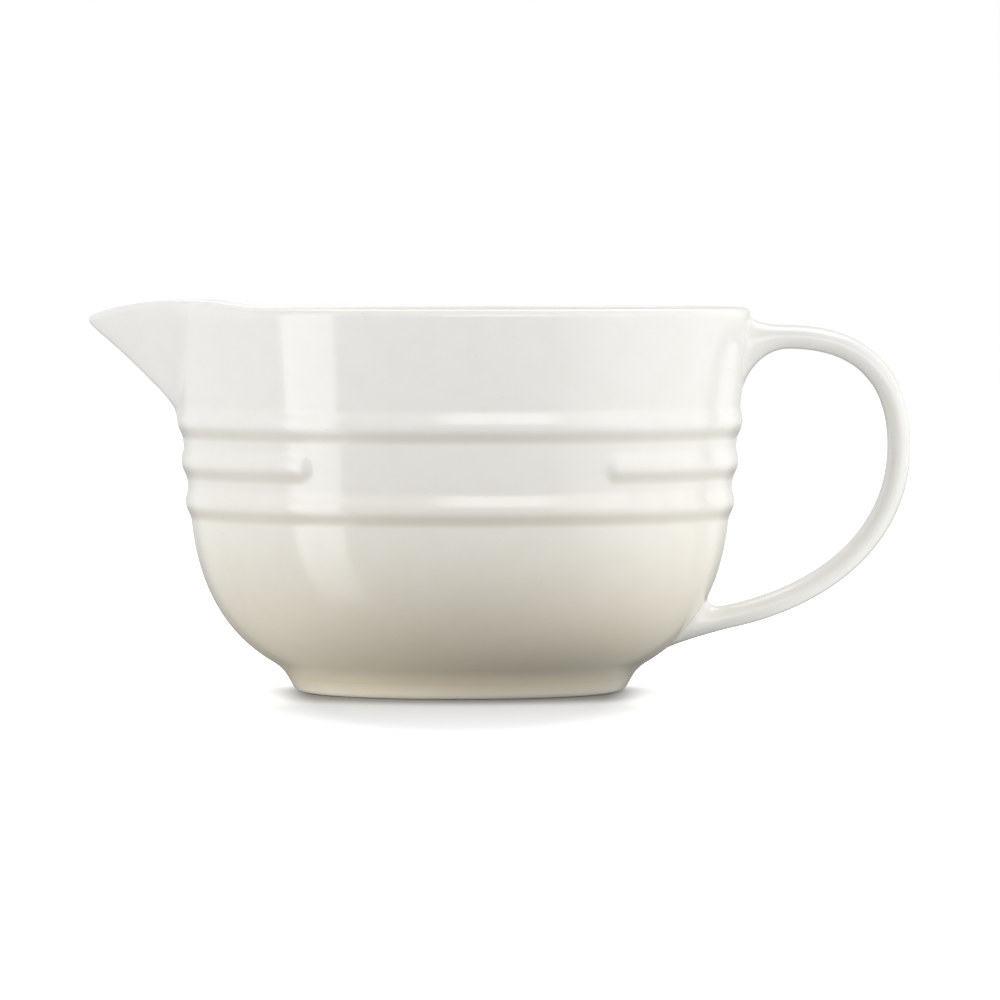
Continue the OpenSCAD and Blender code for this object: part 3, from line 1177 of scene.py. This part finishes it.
@dataclass(frozen=True)
class BareClay:
    """The unglazed stoneware of the standing face: matt, gritty and a little stained."""

    name: str = "bare_clay"
    clay: Screen = (206, 192, 166)
    stain: Screen = (168, 148, 118)
    patch_size: float = 7.0
    patch_share: float = 0.6
    patch_limits: Range = (0.4, 0.75)
    grit_size: float = 0.7
    grit_share: float = 0.4
    grit_limits: Range = (0.55, 0.7)
    grit_depth: float = 0.06
    rough: float = 0.85
    grit_rough: float = 0.1

    def material(self) -> Material:
        """Return the clay as a material."""
        material = bpy.data.materials.new(self.name)
        nodes = Nodes(material)
        place = nodes.place()
        grit = nodes.noise(place, self.grit_size, detail=3.0)
        patch = nodes.noise(place, self.patch_size, detail=3.0)
        stain = linear(self.stain)
        colour = nodes.tint(patch.between(*self.patch_limits) * self.patch_share, linear(self.clay), stain)
        colour = nodes.tint(grit.between(*self.grit_limits) * self.grit_share, colour, stain)
        normal = nodes.bump((grit, self.grit_depth))
        rough = self.rough - grit * self.grit_rough
        nodes.surface({"Base Color": colour, "Roughness": rough, "Normal": normal})
        return material


def aim(thing: Object, place: Triple, target: Triple) -> None:
    """Put a lamp or a camera into the scene.

    Args:
        thing: The lamp or camera.
        place: Where it stands.
        target: The point that it faces.
    """
    thing.location = place
    thing.rotation_euler = (Vector(target) - Vector(place)).to_track_quat("-Z", "Y").to_euler()
    bpy.context.scene.collection.objects.link(thing)


@dataclass(frozen=True)
class Lamp:
    """A soft box.

    Attributes:
        glow: Its light per area; a white face that fills its view shows about this bright.
        fade: Shares of its width and height over which the light dies away at each edge.
    """

    name: str
    place: Triple
    target: Triple
    size: Range
    glow: float
    fade: Range

    def build(self) -> None:
        """Add the lamp to the scene."""
        light = bpy.data.lights.new(self.name, "AREA")
        light.shape = "RECTANGLE"
        light.size, light.size_y = self.size
        light.energy = self.glow * math.pi * math.prod(self.size)
        nodes = Nodes(light)
        spot = nodes.add("ShaderNodeNewGeometry").outputs["Parametric"]
        parts = zip(nodes.axes(spot), self.fade)
        wide, high = (share.between(0.0, fade) * (1 - share).between(0.0, fade) for share, fade in parts)
        glow = nodes.add("ShaderNodeEmission", {"Strength": wide * high})
        nodes.add("ShaderNodeOutputLight", {"Surface": glow.outputs[0]})
        aim(bpy.data.objects.new(self.name, light), self.place, self.target)


@dataclass(frozen=True)
class Floor:
    """The pale floor, which shows the camera little more than the bowl's shadow, with a painted contact
    shadow round the foot.

    Limits are the distances in metres over which one grey goes over to the next.

    Attributes:
        bounce: Greys that light the bowl from the left, from the front and from the right.
        near: Greys that do so close to the foot, on its left and on its right.
        fall: How much of that light is lost far from the bowl.
        lift: Glow that makes up for the shade beside the bowl, behind it and far from it.
        stretch: How much slower that glow rises in front of the bowl than beside it.
    """

    half: float = 6.0
    seen: float = 0.93
    # Painted contact shadow: the darker grey the camera sees right at the foot, and the distances over which
    # it goes over to the pale floor.
    painted_contact_shadow: float = 0.35
    painted_contact_shadow_limits: Range = (0.052, 0.1)
    bounce: Triple = (0.95, 0.28, 1.0)
    left_limits: Range = (0.0, 0.15)
    right_limits: Range = (0.05, 0.12)
    near: Range = (0.75, 0.2)
    near_limits: Range = (0.062, 0.115)
    near_across: Range = (-0.06, 0.05)
    fall: float = 0.34
    fall_limits: Range = (0.15, 0.4)
    lift: Triple = (0.5, 0.5, 1.0)
    beside_limits: Range = (0.05, 0.09)
    behind_limits: Range = (0.05, 0.066)
    behind_along: Range = (-0.11, -0.03)
    far_limits: Range = (0.4, 1.4)
    stretch: float = 0.26

    def build(self) -> None:
        """Add the floor to the scene."""
        sheet = bmesh.new()
        bmesh.ops.create_grid(sheet, x_segments=1, y_segments=1, size=self.half)
        mesh = bpy.data.meshes.new("floor")
        sheet.to_mesh(mesh)
        sheet.free()
        floor = mesh_object("floor", mesh, [self.material()])
        floor.visible_glossy = False

    def material(self) -> Material:
        """Return the floor's material."""
        material = bpy.data.materials.new("pale_floor")
        nodes = Nodes(material)
        seen = nodes.seen()
        spot = nodes.place()
        across, along, _ = nodes.axes(spot)
        radius = nodes.value("ShaderNodeVectorMath", {0: spot}, "Value", operation="LENGTH")
        left, front, right = (grey(share) for share in self.bounce)
        pale = nodes.tint(across.between(*self.right_limits), front, right)
        pale = nodes.tint((-across).between(*self.left_limits), pale, left)
        pale = nodes.tint(radius.between(*self.fall_limits) * self.fall, pale, grey(0.0))
        near = nodes.tint(across.between(*self.near_across), *(grey(share) for share in self.near))
        pale = nodes.tint(radius.between(*self.near_limits), near, pale)
        # Painted contact shadow: darker grey for the camera right round the foot.
        seen_grey_with_painted_shadow = nodes.tint(radius.between(*self.painted_contact_shadow_limits), grey(self.painted_contact_shadow), grey(self.seen))
        matt = nodes.add("ShaderNodeBsdfDiffuse", {"Color": nodes.tint(seen, pale, seen_grey_with_painted_shadow)})
        depth = along.at_least(0.0) + (-along).at_least(0.0) * self.stretch
        away = (across * across + depth * depth).root()
        beside, behind, far = self.lift
        lift = away.between(*self.beside_limits) * beside + radius.between(*self.far_limits) * far
        lift = lift + away.between(*self.behind_limits) * along.between(*self.behind_along) * behind
        glow = nodes.add("ShaderNodeEmission", {"Color": nodes.tint(seen * lift, grey(0.0), grey(1.0))})
        both = nodes.add("ShaderNodeAddShader", {0: matt.outputs[0], 1: glow.outputs[0]})
        nodes.add("ShaderNodeOutputMaterial", {"Surface": both.outputs[0]})
        return material


@dataclass(frozen=True)
class Room:
    """The room's soft light: pale at the sides and behind, dim in front, and white to the camera.

    Limits are shares of a direction along an axis, over which one brightness goes over to the next.

    Attributes:
        below: Share of the light that is left under the horizon.
        above: Share that is left straight above.
        low_left: Brightness added low on the left.
        behind: Shares that are left straight behind the bowl, at the horizon and under it.
    """

    front: float = 0.37
    front_limits: Range = (-0.9, 0.0)
    left: float = 1.06
    right: float = 1.37
    side_limits: Range = (-0.7, 0.7)
    below: float = 0.5
    below_limits: Range = (-0.35, 0.05)
    above: float = 0.5
    above_limits: Range = (0.3, 1.0)
    low_left: float = 0.4
    low_limits: Range = (0.3, 0.7)
    left_limits: Range = (0.25, 0.7)
    behind: Range = (0.62, 0.36)
    behind_limits: Range = (0.8, 0.95)
    sink_limits: Range = (0.04, 0.12)

    def build(self) -> None:
        """Light the scene with the room."""
        world = bpy.data.worlds.new("room")
        bpy.context.scene.world = world
        nodes = Nodes(world)
        way = nodes.add("ShaderNodeTexCoord").outputs["Generated"]
        across, along, height = nodes.axes(way)
        sides = across.between(*self.side_limits).blend(self.left, self.right)
        light = along.between(*self.front_limits).blend(self.front, sides)
        light = light * height.between(*self.below_limits).blend(self.below, 1.0)
        light = light * height.between(*self.above_limits).blend(1.0, self.above)
        corner = (-across).between(*self.left_limits) * (-height).between(*self.low_limits)
        light = light + corner * self.low_left
        behind = (-height).between(*self.sink_limits).blend(*self.behind)
        light = light * along.between(*self.behind_limits).blend(1.0, behind)
        strength = nodes.seen().blend(light, 1.0)
        sky = nodes.add("ShaderNodeBackground", {"Color": (*grey(1.0), 1.0), "Strength": strength})
        nodes.add("ShaderNodeOutputWorld", {"Surface": sky.outputs[0]})


@dataclass(frozen=True)
class Studio:
    """The floor, the room, the lamps and the camera."""

    lens: float = 277.8
    clip_end: float = 100.0
    place: Triple = (0.0139, -2.686, 0.154)
    target: Triple = (0.0139, 0.0, 0.0664)
    lamps: tuple[Lamp, ...] = (
        Lamp("left_strip", (-0.87, -0.49, 0.0), (0.0, 0.0, 0.0), (0.43, 2.4), 2.8, (0.03, 0.5)),
        Lamp("right_box", (1.2, -0.75, 0.3), (0.0, 0.0, 0.07), (1.4, 1.6), 1.42, (0.5, 0.5)),
        Lamp("front_box", (0.6, -2.05, 0.85), (0.0, 0.0, 0.07), (2.4, 1.2), 2.75, (0.2, 0.2)),
        Lamp("back_box", (0.1, 0.9, 1.3), (0.0, 0.0, 0.0), (1.4, 1.2), 1.6, (0.2, 0.2)),
    )

    def build(self) -> None:
        """Add everything that isn't the bowl to the scene."""
        scene = bpy.context.scene
        scene.view_settings.view_transform = "Standard"
        Floor().build()
        Room().build()
        for lamp in self.lamps:
            lamp.build()
        camera = bpy.data.objects.new("camera", bpy.data.cameras.new("camera"))
        camera.data.lens = self.lens
        camera.data.clip_end = self.clip_end
        aim(camera, self.place, self.target)
        scene.camera = camera


# Darker and warmer towards the foot: partly the glaze's own tone, partly painted shade of the belly's
# underside.
BODY_GLAZE = Glaze(
    "glaze",
    (
        (6.0, (226, 216, 189)),
        (30.0, (232, 226, 210)),
        (52.0, (239, 236, 226)),
        (80.0, (241, 239, 234)),
        (132.0, (242, 241, 237)),
    ),
    # Multiplied in under the bands: thicker glaze, and painted shade on their lower flanks.
    glaze_pool_and_shade=(242, 240, 236),
)
# Near the bowl the handle takes the same ramp, painted shade included; further out it turns white.
HANDLE_GLAZE = Glaze(
    "handle_glaze",
    BODY_GLAZE.heights[:-1] + ((132.0, (238, 237, 233)),),
    white_from=(64.0, 80.0),
)
FOOT_GLAZE = Glaze(
    "foot_glaze",
    ((0.0, (252, 247, 235)), (2.5, (247, 239, 222)), (5.0, (229, 219, 194)), (12.0, (226, 216, 189))),
    full_h=20.0,
    uneven=0.6,
)


def main() -> None:
    """Build the bowl's pieces round the CAD frame, with their finishes, and the studio."""
    logging.basicConfig(level=logging.INFO, format="%(name)s %(message)s")
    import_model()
    form = BowlForm()
    shell = BowlShell(form)
    glaze = BODY_GLAZE.material()
    spun = shell.spin()
    for kind in ShellPart:
        settle(mesh_object(kind.value + "_glazed", shell.part(spun, kind), [glaze]), "glaze", kind.value)
    spun.free()
    handle = mesh_object("handle_glazed", Handle(form).build(), [HANDLE_GLAZE.material()])
    settle(handle, "handle_glaze", "handle")
    finishes = [FOOT_GLAZE.material(), BareClay().material()]
    foot = mesh_object("foot_ring_glazed", FootRing(form).build(), finishes)
    settle(foot, "foot_glaze", "foot_ring")
    Studio().build()


if __name__ == "__main__":
    main()
